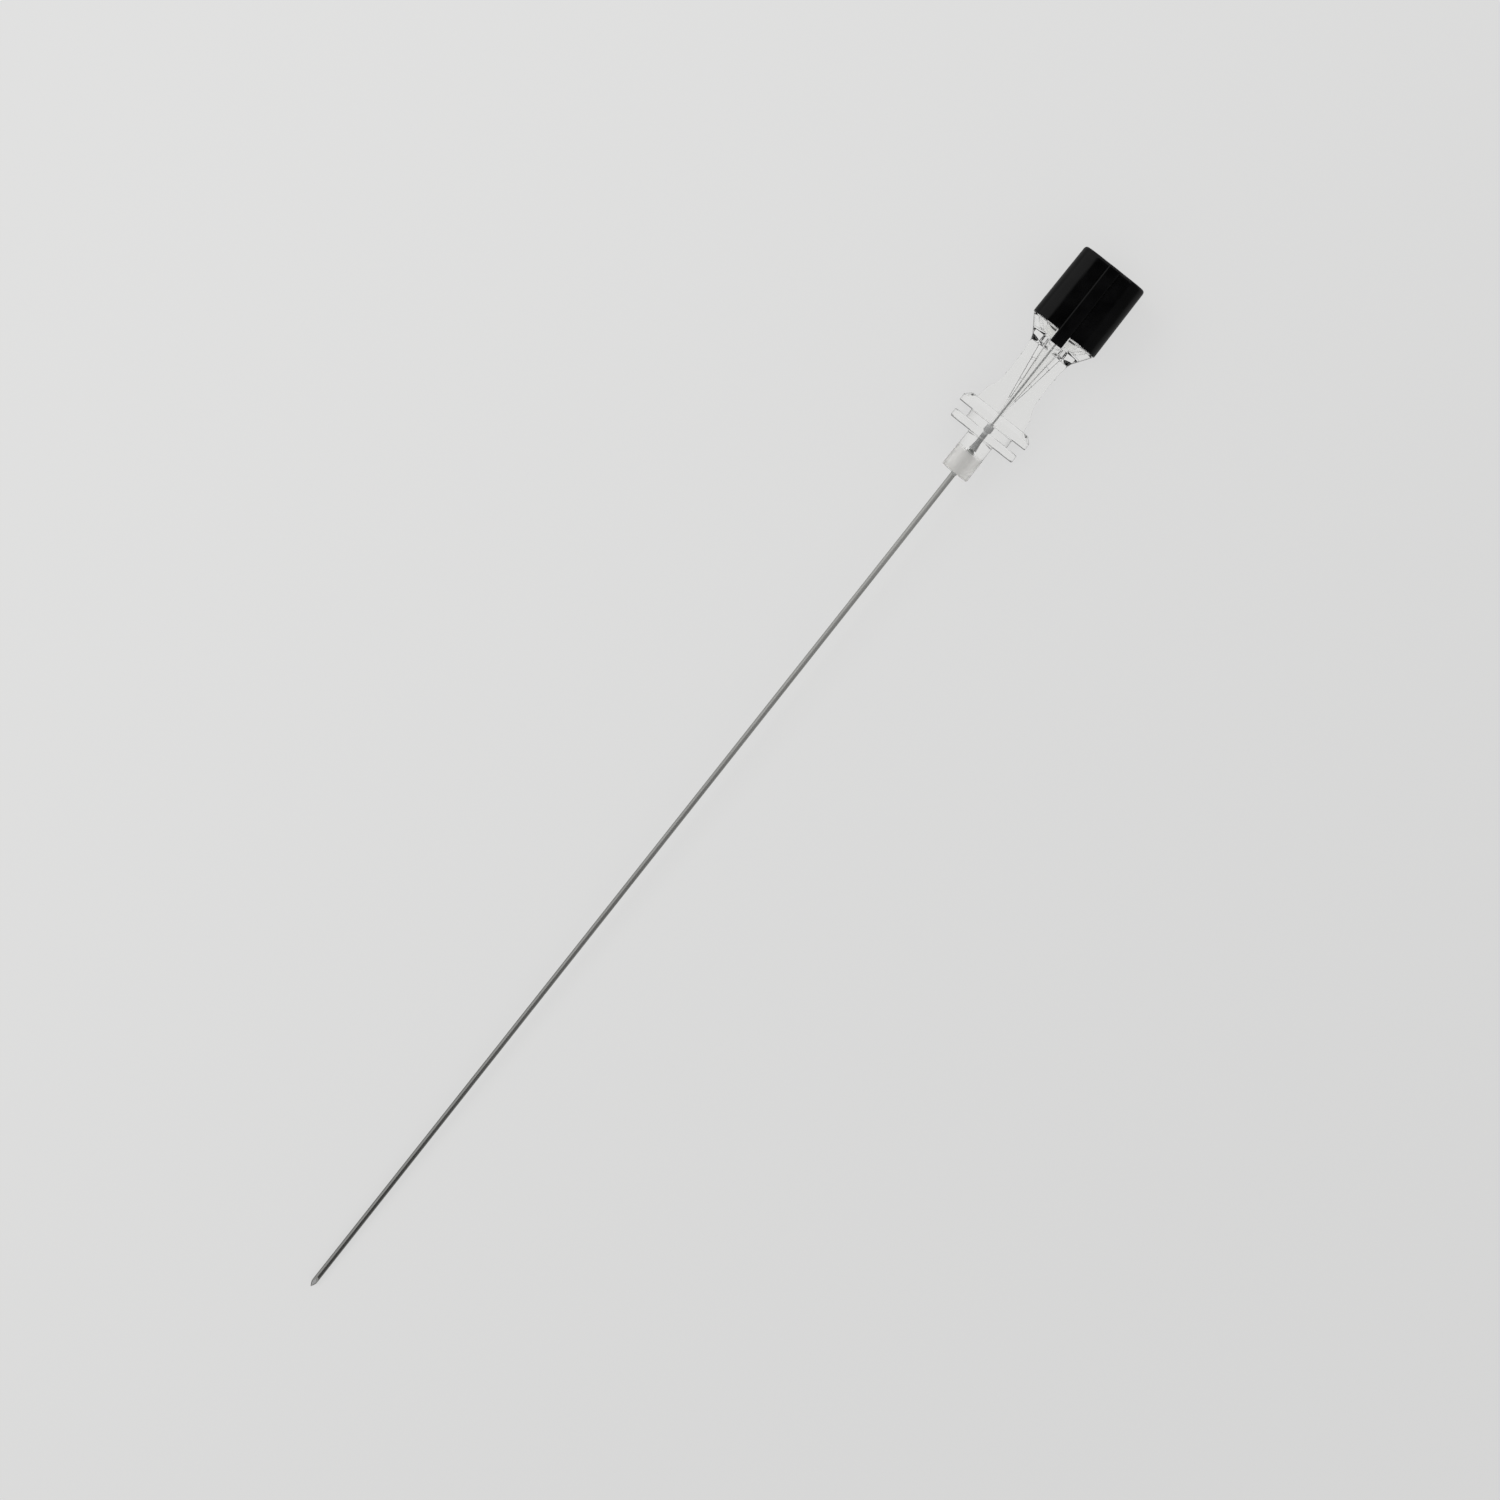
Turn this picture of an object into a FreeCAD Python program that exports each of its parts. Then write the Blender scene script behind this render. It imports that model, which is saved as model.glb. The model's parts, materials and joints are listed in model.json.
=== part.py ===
import FreeCAD, Part
import math
import os

# All sizes are in millimetres, and every station is measured along the axis from the hub's nose face

# Cannula
CANNULA_LENGTH = 127.0
CANNULA_OD = 0.71
CANNULA_ID = 0.45
CANNULA_TOP = 7.3
CANNULA_SEAT_GAP = 0.01

# Ground point, with one long bevel and two lancet facets
BEVEL_LENGTH = 1.48
LANCET_ANGLE = 30.6
LANCET_ROLL = 60.0

# Adhesive in the nose well, which ends in a cone
WELL_DIAMETER = 1.6
WELL_DEPTH = 2.6
WELL_CONE_TOP = 3.6
FLARE_DIAMETER = 1.04
FLARE_LENGTH = 0.22

# Nose and neck
NOSE_DIAMETER = 3.75
NOSE_TOP = 3.2
NOSE_ROUNDING = 0.2
NECK_DIAMETER = 3.7

# Lower grip flange
LOWER_FLANGE_BOTTOM = 5.3
LOWER_FLANGE_TOP = 6.3
LOWER_FLANGE_WIDTH = 9.5
LOWER_FLANGE_DEPTH = 8.0
LOWER_FLANGE_BREAK = 0.3

# Round core between the flanges
CORE_DIAMETER = 6.3

# Upper grip flange
UPPER_FLANGE_BOTTOM = 7.5
UPPER_FLANGE_TOP = 9.05
UPPER_FLANGE_WIDTH = 10.1
UPPER_FLANGE_DEPTH = 8.6
UPPER_FLANGE_BEVEL = 0.75
UPPER_FLANGE_EASE = 0.15
UPPER_FLANGE_BREAK = 0.1
FLANGE_CORNER = 1.3

# Flat-faced waist
WAIST_DEPTH = 6.0
WAIST_ROOT_WIDTH = 7.2
WAIST_SHOULDER = 10.6
WAIST_SHOULDER_WIDTH = 6.64
WAIST_BEND = 11.9
WAIST_BEND_WIDTH = 5.6
WAIST_NARROW_BOTTOM = 13.4
WAIST_NARROW_TOP = 16.3
WAIST_NARROW_WIDTH = 5.1
WAIST_FLARE = 17.5
WAIST_FLARE_WIDTH = 5.34
WAIST_TOP = 18.68
WAIST_TOP_WIDTH = 5.67
WAIST_EDGE_BREAK = 0.15

# Grip ridges across the waist's two sides
RIDGE_STATIONS = (10.7, 13.6, 16.6)
RIDGE_RADIUS = 0.22
RIDGE_PROUD = 0.1
RIDGE_LENGTH = 5.2

# Collar cup
COLLAR_ROOT_WIDTH = 5.67
COLLAR_ROOT_DEPTH = 6.05
COLLAR_ROOT_CORNER = 2.5
COLLAR_KNEE = 19.25
COLLAR_KNEE_WIDTH = 6.0
COLLAR_KNEE_DEPTH = 6.2
COLLAR_KNEE_CORNER = 0.5
COLLAR_SHOULDER = 19.9
COLLAR_SHOULDER_WIDTH = 6.9
COLLAR_SHOULDER_DEPTH = 6.3
COLLAR_SHOULDER_CORNER = 0.9
COLLAR_RIM = 21.5
COLLAR_RIM_WIDTH = 9.1
COLLAR_RIM_DEPTH = 7.6
COLLAR_RIM_CORNER = 2.2
CUP_FLOOR = 20.3
CUP_FLOOR_WIDTH = 6.4
CUP_FLOOR_DEPTH = 5.7
CUP_FLOOR_CORNER = 1.6
CUP_MOUTH_WIDTH = 7.9
CUP_MOUTH_DEPTH = 6.4
CUP_MOUTH_CORNER = 1.9

# Key slot in the collar's front
SLOT_WIDTH = 1.93
SLOT_BOTTOM = 19.4
SLOT_CORNER = 0.4
SLOT_INNER_FACE = 2.75

# Luer socket, with a taper of 6 in 100 on the diameter
LUER_MOUTH = 28.0
LUER_MOUTH_BORE = 4.3
LUER_TAPER = 0.06
LUER_TUBE_DIAMETER = 5.4
LUG_SPAN = 7.8
LUG_WIDTH = 3.4
LUG_THICKNESS = 1.0

# Funnel from the socket to the tube
FUNNEL_TOP = 19.12
FUNNEL_TOP_DIAMETER = 3.6
FUNNEL_BOTTOM = 10.2

# Stylet cap
CAP_RIM_GAP = 0.08
CAP_LUG_GAP = 0.07
CAP_WALL = 0.6
CAP_DRAFT = 0.22
CAP_BOTTOM_DEPTH = 7.8
CAP_CORNER = 2.3
CAP_ROUNDING = 0.5
CEILING_GAP = 2.5
CEILING_THICKNESS = 1.2
RIB_HEIGHT = 0.35
RIB_TOP_BREAK = 0.3
KEY_SIDE_GAP = 0.11
KEY_END_GAP = 0.45
KEY_INNER_GAP = 0.1
PLUG_REACH = 5.5
PLUG_GAP = 0.03
CAP_BOTTOM = COLLAR_RIM + CAP_RIM_GAP
CAP_CEILING = LUER_MOUTH + CEILING_GAP
CAP_TOP = CAP_CEILING + CEILING_THICKNESS
CAP_TOP_WIDTH = LUG_SPAN + 2 * (CAP_LUG_GAP + CAP_WALL)
CAP_BOTTOM_WIDTH = CAP_TOP_WIDTH + CAP_DRAFT
KEY_END = SLOT_BOTTOM + KEY_END_GAP
PLUG_END = LUER_MOUTH - PLUG_REACH

# Stylet wire, moulded into the cap's ceiling
WIRE_GAP = 0.02
WIRE_GRIP = 0.5
WIRE_DIAMETER = CANNULA_ID - 2 * WIRE_GAP
WIRE_TOP = CAP_CEILING + WIRE_GRIP

# Resting pose: the point and the upper flange's lower edge touch the ground
REST_RUN = CANNULA_LENGTH + UPPER_FLANGE_BOTTOM + UPPER_FLANGE_BREAK
REST_RISE = UPPER_FLANGE_DEPTH / 2 - CANNULA_OD / 2
REST_TILT = math.degrees(math.atan(REST_RISE / REST_RUN))

AXIS = FreeCAD.Vector(1, 0, 0)


def on_axis(station):
    return FreeCAD.Vector(station, 0, 0)


def rod(start, end, radius):
    return Part.makeCylinder(radius, end - start, on_axis(start), AXIS)


def taper(start, end, start_radius, end_radius):
    return Part.makeCone(start_radius, end_radius, end - start, on_axis(start), AXIS)


def rounded_outline(station, width, depth, corner):
    y = width / 2
    z = depth / 2
    cut = corner * (1 - math.sqrt(0.5))
    edges = []
    for sy, sz in ((1, 1), (-1, 1), (-1, -1), (1, -1)):
        on_side = FreeCAD.Vector(station, sy * y, sz * (z - corner))
        middle = FreeCAD.Vector(station, sy * (y - cut), sz * (z - cut))
        on_face = FreeCAD.Vector(station, sy * (y - corner), sz * z)
        ends = (on_side, on_face) if sy == sz else (on_face, on_side)
        if edges:
            edges.append(Part.makeLine(edges[-1].Vertexes[-1].Point, ends[0]))
        edges.append(Part.Arc(ends[0], middle, ends[1]).toShape())
    edges.append(Part.makeLine(edges[-1].Vertexes[-1].Point, edges[0].Vertexes[0].Point))
    return Part.Wire(edges)


def plate(start, end, width, depth, corner):
    face = Part.Face(rounded_outline(start, width, depth, corner))
    return face.extrude(FreeCAD.Vector(end - start, 0, 0))


def blend(*sections):
    return Part.makeLoft([rounded_outline(*section) for section in sections], True, True)


def box(start, end, y, z):
    corner = FreeCAD.Vector(start, y[0], z[0])
    return Part.makeBox(end - start, y[1] - y[0], z[1] - z[0], corner)


def edges_across(solid, station):
    return [e for e in solid.Edges if all(abs(v.X - station) < 1e-6 for v in e.Vertexes)]


def luer_radius(station):
    return (LUER_MOUTH_BORE - LUER_TAPER * (LUER_MOUTH - station)) / 2


# Ground point


def half_space(angle, roll):
    side = 20.0
    block = Part.makeBox(side, side, side, FreeCAD.Vector(-side / 2, -side / 2, 0))
    block.rotate(FreeCAD.Vector(), FreeCAD.Vector(0, 1, 0), -angle)
    block.rotate(FreeCAD.Vector(), AXIS, roll)
    block.translate(FreeCAD.Vector(-CANNULA_LENGTH, 0, -CANNULA_OD / 2))
    return block


def grind(blank):
    bevel_angle = math.degrees(math.atan(CANNULA_OD / BEVEL_LENGTH))
    ground = blank.cut(half_space(bevel_angle, 0))
    ground = ground.cut(half_space(LANCET_ANGLE, LANCET_ROLL))
    return ground.cut(half_space(LANCET_ANGLE, -LANCET_ROLL))


# Hub


def nose_and_neck():
    nose = rod(0, NOSE_TOP, NOSE_DIAMETER / 2)
    nose = nose.makeFillet(NOSE_ROUNDING, edges_across(nose, 0))
    return nose.fuse(rod(NOSE_TOP, LOWER_FLANGE_BOTTOM, NECK_DIAMETER / 2))


def lower_flange():
    size = (LOWER_FLANGE_WIDTH, LOWER_FLANGE_DEPTH, FLANGE_CORNER)
    flange = plate(LOWER_FLANGE_BOTTOM, LOWER_FLANGE_TOP, *size)
    rims = edges_across(flange, LOWER_FLANGE_BOTTOM) + edges_across(flange, LOWER_FLANGE_TOP)
    return flange.makeChamfer(LOWER_FLANGE_BREAK, rims)


def upper_flange():
    knee = UPPER_FLANGE_TOP - UPPER_FLANGE_BEVEL
    size = (UPPER_FLANGE_WIDTH, UPPER_FLANGE_DEPTH, FLANGE_CORNER)
    flange = plate(UPPER_FLANGE_BOTTOM, knee, *size)
    flange = flange.makeChamfer(UPPER_FLANGE_BREAK, edges_across(flange, UPPER_FLANGE_BOTTOM))
    top_width = UPPER_FLANGE_WIDTH - 2 * UPPER_FLANGE_BEVEL
    top_depth = UPPER_FLANGE_DEPTH - 2 * UPPER_FLANGE_EASE
    top = (UPPER_FLANGE_TOP, top_width, top_depth, FLANGE_CORNER)
    return flange.fuse(blend((knee, *size), top))


def waist_side(sign):
    def at(station, width):
        return FreeCAD.Vector(station, sign * width / 2, -WAIST_DEPTH / 2)

    root = at(UPPER_FLANGE_TOP, WAIST_ROOT_WIDTH)
    shoulder = at(WAIST_SHOULDER, WAIST_SHOULDER_WIDTH)
    bend = at(WAIST_BEND, WAIST_BEND_WIDTH)
    narrow = at(WAIST_NARROW_BOTTOM, WAIST_NARROW_WIDTH)
    narrow_top = at(WAIST_NARROW_TOP, WAIST_NARROW_WIDTH)
    flare = at(WAIST_FLARE, WAIST_FLARE_WIDTH)
    top = at(WAIST_TOP, WAIST_TOP_WIDTH)
    return [
        Part.makeLine(root, shoulder),
        Part.Arc(shoulder, bend, narrow).toShape(),
        Part.makeLine(narrow, narrow_top),
        Part.Arc(narrow_top, flare, top).toShape(),
    ]


def waist():
    left = waist_side(1)
    right = waist_side(-1)
    bottom = Part.makeLine(left[0].Vertexes[0].Point, right[0].Vertexes[0].Point)
    top = Part.makeLine(left[-1].Vertexes[-1].Point, right[-1].Vertexes[-1].Point)
    outline = Part.Wire(Part.__sortEdges__(left + right + [bottom, top]))
    solid = Part.Face(outline).extrude(FreeCAD.Vector(0, 0, WAIST_DEPTH))
    return solid.makeChamfer(WAIST_EDGE_BREAK, [e for e in solid.Edges if borders_a_side(e)])


def borders_a_side(edge):
    first, last = [v.Point for v in (edge.Vertexes[0], edge.Vertexes[-1])]
    return abs(first.z - last.z) < 1e-6 and abs(first.x - last.x) > 1e-6


def ridges():
    widths = (WAIST_SHOULDER_WIDTH, WAIST_NARROW_WIDTH, WAIST_NARROW_WIDTH)
    bars = []
    for station, width in zip(RIDGE_STATIONS, widths):
        for sign in (1, -1):
            y = sign * (width / 2 - RIDGE_RADIUS + RIDGE_PROUD)
            start = FreeCAD.Vector(station, y, -RIDGE_LENGTH / 2)
            bars.append(Part.makeCylinder(RIDGE_RADIUS, RIDGE_LENGTH, start))
    return bars


def collar():
    root = (WAIST_TOP, COLLAR_ROOT_WIDTH, COLLAR_ROOT_DEPTH, COLLAR_ROOT_CORNER)
    knee = (COLLAR_KNEE, COLLAR_KNEE_WIDTH, COLLAR_KNEE_DEPTH, COLLAR_KNEE_CORNER)
    shoulder = (COLLAR_SHOULDER, COLLAR_SHOULDER_WIDTH, COLLAR_SHOULDER_DEPTH, COLLAR_SHOULDER_CORNER)
    rim = (COLLAR_RIM, COLLAR_RIM_WIDTH, COLLAR_RIM_DEPTH, COLLAR_RIM_CORNER)
    outside = blend(root, knee).fuse([blend(knee, shoulder), blend(shoulder, rim)])
    floor = (CUP_FLOOR, CUP_FLOOR_WIDTH, CUP_FLOOR_DEPTH, CUP_FLOOR_CORNER)
    mouth = (COLLAR_RIM, CUP_MOUTH_WIDTH, CUP_MOUTH_DEPTH, CUP_MOUTH_CORNER)
    return outside.cut(blend(floor, mouth)).cut(key_slot())


def key_slot():
    y = SLOT_WIDTH / 2
    slot = box(SLOT_BOTTOM, COLLAR_RIM + 1, (-y, y), (SLOT_INNER_FACE, COLLAR_RIM_DEPTH))
    corners = [e for e in edges_across(slot, SLOT_BOTTOM) if e.Length > SLOT_WIDTH + 1]
    return slot.makeFillet(SLOT_CORNER, corners)


def luer_tube():
    tube = rod(CUP_FLOOR - 0.1, LUER_MOUTH, LUER_TUBE_DIAMETER / 2)
    disc = rod(LUER_MOUTH - LUG_THICKNESS, LUER_MOUTH, LUG_SPAN / 2)
    z = LUG_WIDTH / 2
    strip = box(LUER_MOUTH - LUG_THICKNESS, LUER_MOUTH, (-LUG_SPAN, LUG_SPAN), (-z, z))
    return tube.fuse(disc.common(strip))


def nose_well():
    bore = CANNULA_OD / 2 + CANNULA_SEAT_GAP
    cone = taper(WELL_DEPTH, WELL_CONE_TOP, WELL_DIAMETER / 2, bore)
    return rod(0, WELL_DEPTH, WELL_DIAMETER / 2).fuse(cone)


def hub_hollow():
    bore = CANNULA_OD / 2 + CANNULA_SEAT_GAP
    socket = taper(FUNNEL_TOP, LUER_MOUTH, luer_radius(FUNNEL_TOP), luer_radius(LUER_MOUTH))
    funnel = taper(FUNNEL_BOTTOM, FUNNEL_TOP, bore, FUNNEL_TOP_DIAMETER / 2)
    return socket.fuse([funnel, rod(WELL_DEPTH, FUNNEL_BOTTOM, bore), nose_well()])


def hub():
    core = rod(LOWER_FLANGE_TOP, UPPER_FLANGE_BOTTOM, CORE_DIAMETER / 2)
    pieces = [lower_flange(), core, upper_flange(), waist(), collar(), luer_tube()]
    solid = nose_and_neck().fuse(pieces + ridges())
    return solid.cut(hub_hollow()).removeSplitter()


# Tube, adhesive and stylet


def cannula():
    tube = rod(-CANNULA_LENGTH, CANNULA_TOP, CANNULA_OD / 2)
    return grind(tube.cut(rod(-CANNULA_LENGTH, CANNULA_TOP, CANNULA_ID / 2)))


def cannula_adhesive():
    flare = taper(-FLARE_LENGTH, 0, CANNULA_OD / 2 + CANNULA_SEAT_GAP, FLARE_DIAMETER / 2)
    tube = rod(-1, WELL_CONE_TOP + 1, CANNULA_OD / 2)
    return nose_well().fuse(flare).cut(tube).removeSplitter()


def stylet_wire():
    return grind(rod(-CANNULA_LENGTH, WIRE_TOP, WIRE_DIAMETER / 2))


def cap_skirt():
    bottom = (CAP_BOTTOM_WIDTH, CAP_BOTTOM_DEPTH, CAP_CORNER)
    top = (CAP_TOP_WIDTH, CAP_BOTTOM_DEPTH - CAP_DRAFT, CAP_CORNER)
    outside = blend((CAP_BOTTOM, *bottom), (CAP_TOP, *top))
    inner_bottom = [bottom[0] - 2 * CAP_WALL, bottom[1] - 2 * CAP_WALL, CAP_CORNER - CAP_WALL]
    inner_top = [top[0] - 2 * CAP_WALL, top[1] - 2 * CAP_WALL, CAP_CORNER - CAP_WALL]
    inside = blend((CAP_BOTTOM, *inner_bottom), (CAP_CEILING, *inner_top))
    outside = outside.makeFillet(CAP_ROUNDING, edges_across(outside, CAP_TOP))
    return outside, inside


def key_rib():
    y = SLOT_WIDTH / 2 - KEY_SIDE_GAP
    front = CAP_BOTTOM_DEPTH / 2 + RIB_HEIGHT
    inner_face = SLOT_INNER_FACE + KEY_INNER_GAP
    top_front = front - CAP_DRAFT / 2
    side = [
        (KEY_END, inner_face),
        (KEY_END, front),
        (CAP_BOTTOM, front),
        (CAP_TOP - RIB_TOP_BREAK, top_front),
        (CAP_TOP, top_front - RIB_TOP_BREAK),
        (CAP_TOP, inner_face),
    ]
    corners = [FreeCAD.Vector(x, -y, z) for x, z in side]
    face = Part.Face(Part.makePolygon(corners + corners[:1]))
    return face.extrude(FreeCAD.Vector(0, 2 * y, 0))


def plug():
    end_radius = luer_radius(PLUG_END) - PLUG_GAP
    root_radius = luer_radius(CAP_CEILING) - PLUG_GAP
    return taper(PLUG_END, CAP_CEILING, end_radius, root_radius)


def stylet_cap():
    outside, inside = cap_skirt()
    shell = outside.fuse(key_rib()).cut(inside).fuse(plug())
    return shell.cut(rod(PLUG_END, WIRE_TOP, WIRE_DIAMETER / 2)).removeSplitter()


# Resting pose and files


def lie_down(shape):
    shape.rotate(FreeCAD.Vector(), FreeCAD.Vector(0, 1, 0), -REST_TILT)
    return shape


def main():
    shapes = {
        "hub": hub(),
        "cannula": cannula(),
        "cannula_adhesive": cannula_adhesive(),
        "stylet_wire": stylet_wire(),
        "stylet_cap": stylet_cap(),
    }
    for shape in shapes.values():
        lie_down(shape)
    whole = Part.makeCompound(list(shapes.values())).optimalBoundingBox()
    move = FreeCAD.Vector(-whole.Center.x, -whole.Center.y, -whole.ZMin)
    os.makedirs("parts", exist_ok=True)
    for name, shape in shapes.items():
        shape.translate(move)
        shape.exportStep("parts/" + name + ".step")


main()
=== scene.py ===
"""Spinal needle with its stylet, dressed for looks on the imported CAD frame.

Every piece is modelled along the needle's own axis in millimetres. A station is the distance from
the hub's nose face towards the cap along +X, +Y is one side, and +Z is the side that the key and the
bevel face. The finished piece is then laid down into the row frame, which is in metres.
"""

import json
import logging
import math
from collections.abc import Callable, Sequence
from dataclasses import dataclass
from enum import Enum

import bpy
from mathutils import Matrix, Vector


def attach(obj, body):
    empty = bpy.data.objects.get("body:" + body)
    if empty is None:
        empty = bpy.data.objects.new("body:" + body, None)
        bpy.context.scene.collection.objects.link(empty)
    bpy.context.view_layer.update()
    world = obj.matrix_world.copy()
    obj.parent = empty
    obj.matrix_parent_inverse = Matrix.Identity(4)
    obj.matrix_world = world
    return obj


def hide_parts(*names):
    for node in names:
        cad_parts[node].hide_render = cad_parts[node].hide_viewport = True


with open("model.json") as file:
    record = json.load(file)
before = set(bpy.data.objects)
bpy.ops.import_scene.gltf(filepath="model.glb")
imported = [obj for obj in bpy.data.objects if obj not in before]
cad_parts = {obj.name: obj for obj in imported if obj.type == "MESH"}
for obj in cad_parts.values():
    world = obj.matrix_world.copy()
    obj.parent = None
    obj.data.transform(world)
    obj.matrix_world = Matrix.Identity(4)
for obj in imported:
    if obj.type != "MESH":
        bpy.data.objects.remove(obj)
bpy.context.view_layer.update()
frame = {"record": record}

MM = 0.001
ALONG = (0.0, math.pi / 2, 0.0)

# Millimetres that count as none, as close by, and as one and the same point
TINY = 1e-4
NEAR = 0.01
WELD = 2e-5

# How nearly round a disc is, and how much of a side the rounding of an edge may take
ROUNDNESS = 0.9995
LARGEST_SHARE = 0.48

Piece = bpy.types.Object
Socket = bpy.types.NodeSocket
Pair = tuple[float, float]
Triple = tuple[float, float, float]

log = logging.getLogger("needle")


# Modelling by hand


class Fit(Enum):
    """How one solid is joined to another."""

    UNION = "UNION"
    DIFFERENCE = "DIFFERENCE"


@dataclass(frozen=True)
class Section:
    """An outline across the needle's axis, in millimetres.

    Attributes:
        station: Where it is along the axis.
        width: Its size from side to side.
        depth: Its size from the key's side to the back.
        corner: The radius of its four corners.
        soften: How far the edge that it makes with its neighbours is rounded.
    """

    station: float
    width: float
    depth: float
    corner: float
    soften: float = 0.0


def disc(station: float, radius: float, soften: float = 0.0) -> Section:
    """Gives a round section of a radius at a station."""
    return Section(station, 2 * radius, 2 * radius, ROUNDNESS * radius, soften)


def between(a: Section, b: Section, share: float) -> Section:
    """Gives the section that lies a share of the way from one to another.

    Args:
        a: The first section.
        b: The second section.
        share: 0 for the first, 1 for the second.

    Returns:
        The section between them.
    """
    mixed = (p + (q - p) * share for p, q in (
        (a.station, b.station), (a.width, b.width), (a.depth, b.depth), (a.corner, b.corner)))
    return Section(*mixed)


def apart(a: Section, b: Section) -> float:
    """Gives how far two sections' edges are from each other, in millimetres."""
    return max(math.hypot(a.station - b.station, (a.width - b.width) / 2), TINY)


def softened(sections: Sequence[Section], steps: int = 4) -> list[Section]:
    """Rounds the edges of a row of sections.

    Args:
        sections: The sections in order. In a ring, the first comes after the last.
        steps: How many strips a rounded edge has.

    Returns:
        The sections with each rounded edge replaced by a few more.
    """
    row: list[Section] = []
    for i, here in enumerate(sections):
        if here.soften == 0.0:
            row.append(here)
            continue
        before, after = sections[i - 1], sections[(i + 1) % len(sections)]
        first = between(here, before, min(here.soften / apart(here, before), LARGEST_SHARE))
        last = between(here, after, min(here.soften / apart(here, after), LARGEST_SHARE))
        for k in range(steps + 1):
            share = k / steps
            row.append(between(between(first, here, share), between(here, last, share), share))
    return row


def start_fresh() -> None:
    """Deselects everything, so that an operator acts only on the piece that it is given."""
    if bpy.context.object is not None and bpy.context.object.mode != "OBJECT":
        bpy.ops.object.mode_set(mode="OBJECT")
    bpy.ops.object.select_all(action="DESELECT")


def pick(piece: Piece) -> None:
    """Makes a piece the only one selected, and the active one.

    Args:
        piece: The piece.
    """
    start_fresh()
    piece.select_set(True)
    bpy.context.view_layer.objects.active = piece


def edit(piece: Piece, kind: str = "VERT") -> None:
    """Opens a piece for shaping, with nothing selected in it.

    Args:
        piece: The piece to shape.
        kind: What is selected next: VERT, EDGE or FACE.
    """
    pick(piece)
    bpy.ops.object.mode_set(mode="EDIT")
    bpy.ops.mesh.select_mode(type=kind)
    bpy.ops.mesh.select_all(action="DESELECT")


def choose_points(piece: Piece, wanted: Callable[[Vector], bool]) -> None:
    """Selects the points of a piece that lie where they are wanted, and opens it for shaping.

    Args:
        piece: The piece.
        wanted: Says from a point's place whether to take it.
    """
    edit(piece)
    bpy.ops.object.mode_set(mode="OBJECT")
    for point in piece.data.vertices:
        point.select = wanted(point.co)
    bpy.ops.object.mode_set(mode="EDIT")


def break_edges(piece: Piece, reach: float, strips: int, wanted: Callable[[Vector, Vector], bool]) -> None:
    """Rounds the edges of a piece that lie where they are wanted.

    Args:
        piece: The piece.
        reach: How far the rounding reaches.
        strips: How many strips it has.
        wanted: Says from an edge's two ends whether to take it.
    """
    edit(piece, "EDGE")
    bpy.ops.object.mode_set(mode="OBJECT")
    points = piece.data.vertices
    for edge in piece.data.edges:
        edge.select = wanted(points[edge.vertices[0]].co, points[edge.vertices[1]].co)
    bpy.ops.object.mode_set(mode="EDIT")
    bpy.ops.mesh.bevel(offset=reach, segments=strips, affect="EDGES")
    bpy.ops.object.mode_set(mode="OBJECT")


def settle(piece: Piece) -> None:
    """Puts a piece's turn, place and scale into its mesh."""
    pick(piece)
    bpy.ops.object.transform_apply(location=True, rotation=True, scale=True)


def add_outline(section: Section, steps: int) -> None:
    """Adds one section's outline to the piece that is being edited, and leaves it selected.

    Args:
        section: The section.
        steps: How many edges each of its corners has.
    """
    bpy.ops.mesh.primitive_plane_add(size=1.0, location=(section.station, 0, 0), rotation=ALONG)
    bpy.ops.transform.resize(value=(1.0, section.width, section.depth))
    bpy.ops.mesh.bevel(offset=section.corner, segments=steps, affect="VERTICES")
    bpy.ops.mesh.delete(type="ONLY_FACE")


def choose_outlines() -> None:
    """Selects the outlines of the piece that is being edited that carry no face yet."""
    bpy.ops.mesh.select_all(action="DESELECT")
    bpy.ops.mesh.select_mode(type="EDGE")
    bpy.ops.mesh.select_non_manifold(
        extend=False, use_wire=True, use_boundary=False,
        use_multi_face=False, use_non_contiguous=False, use_verts=False)


def bridge(first: Section, second: Section, steps: int) -> None:
    """Adds a strip of skin between two sections to the piece that is being edited.

    Args:
        first: The section where the strip starts.
        second: The section where it ends.
        steps: How many edges each corner has.
    """
    add_outline(first, steps)
    add_outline(second, steps)
    choose_outlines()
    bpy.ops.mesh.bridge_edge_loops()


def loft(name: str, sections: Sequence[Section], ring: bool = False, steps: int = 16) -> Piece:
    """Bridges a row of sections into one closed skin.

    Args:
        name: The new piece's name.
        sections: The sections in order, already softened.
        ring: True if the last section joins the first, as round a bore.
        steps: How many edges each corner of a section has.

    Returns:
        The new piece.
    """
    start_fresh()
    bpy.ops.mesh.primitive_plane_add(size=1.0)
    piece = bpy.context.object
    piece.name = name
    bpy.ops.object.mode_set(mode="EDIT")
    bpy.ops.mesh.select_all(action="SELECT")
    bpy.ops.mesh.delete(type="VERT")
    for first, second in zip(sections, sections[1:]):
        bridge(first, second, steps)
    if ring:
        bridge(sections[-1], sections[0], steps)
    else:
        for end in (sections[0], sections[-1]):
            add_outline(end, steps)
            choose_outlines()
            bpy.ops.mesh.edge_face_add()
    bpy.ops.mesh.select_all(action="SELECT")
    bpy.ops.mesh.remove_doubles(threshold=WELD)
    bpy.ops.mesh.normals_make_consistent(inside=False)
    bpy.ops.object.mode_set(mode="OBJECT")
    return piece


def block(stations: Pair, sides: Pair, heights: Pair) -> Piece:
    """Adds a block at its size and place.

    Args:
        stations: Where it starts and ends along the axis.
        sides: Its lowest and highest Y.
        heights: Its lowest and highest Z.

    Returns:
        The new piece.
    """
    start_fresh()
    spans = (stations, sides, heights)
    bpy.ops.mesh.primitive_cube_add(size=1.0, location=[(a + b) / 2 for a, b in spans],
                                    scale=[b - a for a, b in spans])
    settle(bpy.context.object)
    return bpy.context.object


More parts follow.
